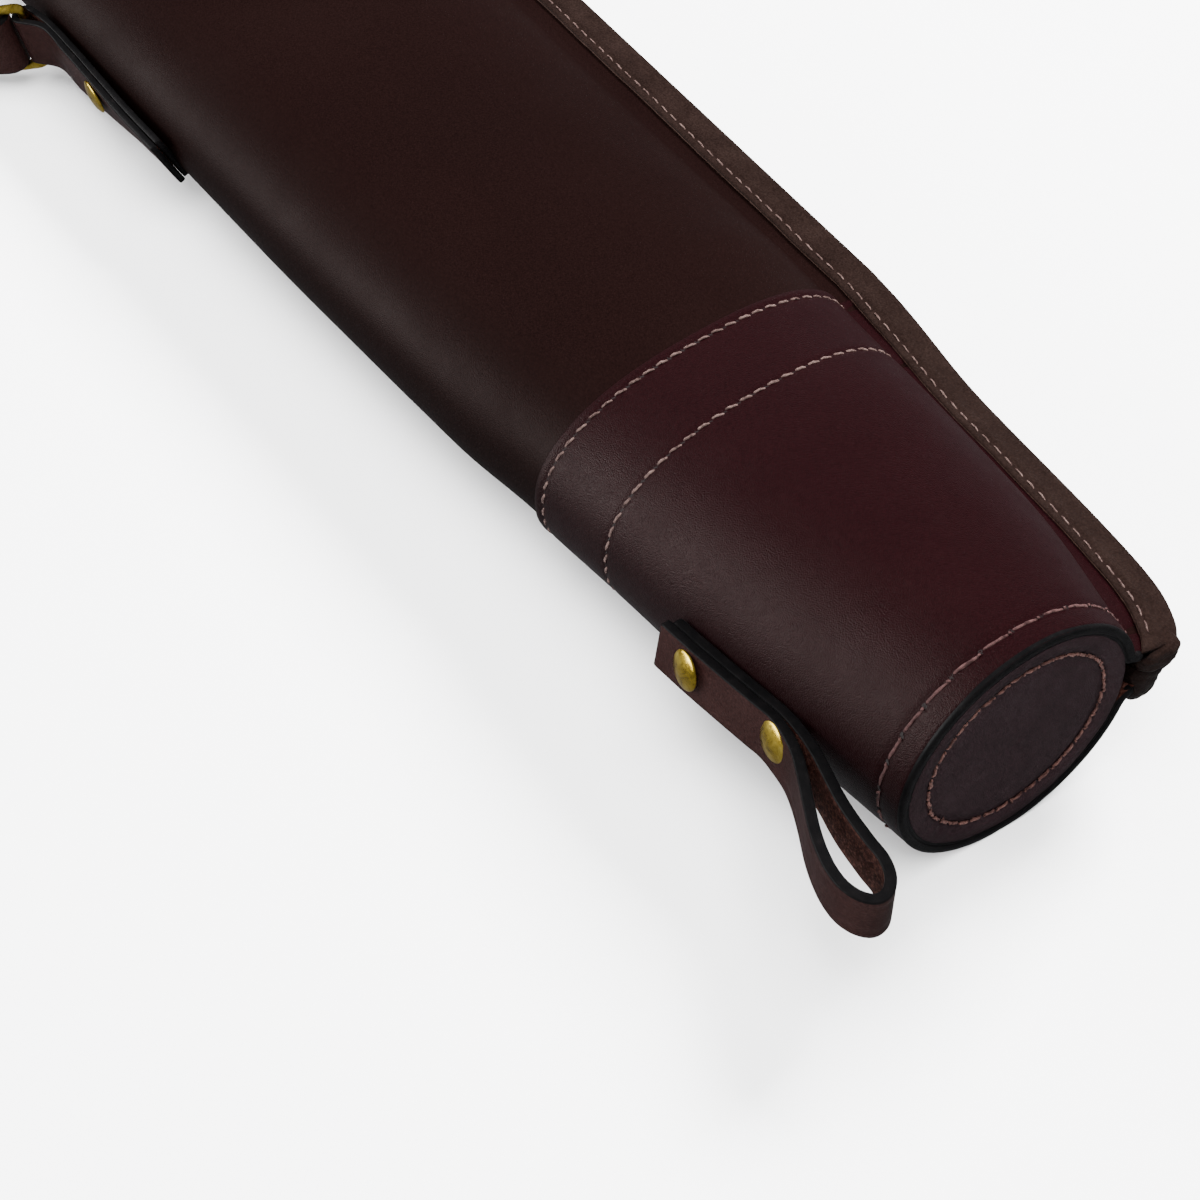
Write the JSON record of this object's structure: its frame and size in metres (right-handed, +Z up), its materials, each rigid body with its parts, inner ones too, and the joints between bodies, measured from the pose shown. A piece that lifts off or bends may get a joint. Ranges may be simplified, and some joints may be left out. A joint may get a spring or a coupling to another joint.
{
  "type": "leather slip case",
  "caption": "Long tapered leather slip case with a round capped tip, bound zip edge, riveted hang loop, shoulder sling on rings and a buttoned end flap.",
  "frame": {"origin": "middle of the underside, on the surface the case lies on", "axes": "+X along the case towards the round tip, +Y across towards the zip edge, +Z up"},
  "size_m": [1.2264, 0.3348, 0.0785],
  "materials": {
    "body_leather": "waxed matte",
    "cap_leather": "waxed",
    "binding_leather": "soft matte",
    "strap_leather": "waxed, painted edges",
    "disc_leather": "waxed",
    "flap_leather": "waxed matte",
    "fleece": "deep pile",
    "board": "raw fibre board",
    "felt": "felt",
    "zip_tape": "woven",
    "brass": "worn"
  },
  "bodies": {
    "case_body": {"body_tip_length": "body_leather", "body_front_length": "body_leather", "body_barrel_length": "body_leather", "body_middle_length": "body_leather", "body_butt_length": "body_leather", "body_mouth_length": "body_leather", "tip_cap": "cap_leather", "fleece_lining": "fleece", "upper_edge_binding": "binding_leather", "lower_edge_binding": "binding_leather", "end_disc": "disc_leather", "end_board": "board", "end_pad": "felt", "upper_zip_tape": "zip_tape", "lower_zip_tape": "zip_tape", "upper_zip_teeth": "brass", "lower_zip_teeth": "brass", "zip_bottom_stop": "brass", "zip_top_stops": "brass", "hang_loop": "strap_leather", "hang_loop_rivets": "brass", "hang_loop_washers": "brass", "front_ring_tab": "strap_leather", "front_tab_rivet": "brass", "front_tab_washer": "brass", "rear_ring_tab": "strap_leather", "rear_tab_rivet": "brass", "rear_tab_washer": "brass", "sling_front_loop": "strap_leather", "sling_rear_loop": "strap_leather", "sling_front_rivet": "brass", "sling_rear_rivet": "brass", "sling_long_strap": "strap_leather", "sling_short_strap": "strap_leather", "sling_chape_tail": "strap_leather", "sling_buckle": "brass", "sling_keepers": "strap_leather", "flap_root": "flap_leather", "stud_patch": "strap_leather", "closure_stud": "brass"},
    "front_ring_body": {"front_ring": "brass"},
    "rear_ring_body": {"rear_ring": "brass"},
    "slider_body": {"zip_slider": "brass"},
    "puller_body": {"zip_puller": "brass", "zip_thong": "strap_leather"},
    "flap_wall_body": {"flap_end_wall": "flap_leather"},
    "flap_cover_body": {"flap_cover": "flap_leather", "flap_strap": "strap_leather", "flap_strap_rivets": "brass"},
    "tongue_body": {"sling_buckle_tongue": "brass"}
  },
  "joints": [
    {"name": "front_ring_swing", "type": "hinge", "parent": "case_body", "child": "front_ring_body", "pos_m": [0.15434, -0.00408, 0.02161], "axis": [0, -0.2079, 0.9781], "range_deg": [-6, 6]},
    {"name": "rear_ring_swing", "type": "hinge", "parent": "case_body", "child": "rear_ring_body", "pos_m": [-0.45966, -0.03837, 0.02245], "axis": [0, -0.2079, 0.9781], "range_deg": [-6, 6]},
    {"name": "zip_slide", "type": "slide", "parent": "case_body", "child": "slider_body", "axis": [0.9999, -0.014, 0.001], "range_m": [0, 0.993]},
    {"name": "puller_swing", "type": "hinge", "parent": "slider_body", "child": "puller_body", "pos_m": [-0.57966, 0.16511, 0.03069], "axis": [0, 0, 1], "range_deg": [0, 165]},
    {"name": "flap_wall_hinge", "type": "hinge", "parent": "case_body", "child": "flap_wall_body", "pos_m": [-0.61191, 0, 0.0031], "axis": [0, -1, 0], "range_deg": [0, 85]},
    {"name": "flap_cover_hinge", "type": "hinge", "parent": "flap_wall_body", "child": "flap_cover_body", "pos_m": [-0.61191, 0, 0.06245], "axis": [0, -1, 0], "range_deg": [0, 90]},
    {"name": "buckle_tongue_swing", "type": "hinge", "parent": "case_body", "child": "tongue_body", "pos_m": [-0.26495, -0.15059, 0.0162], "axis": [0, 0, -1], "range_deg": [0, 80]}
  ]
}
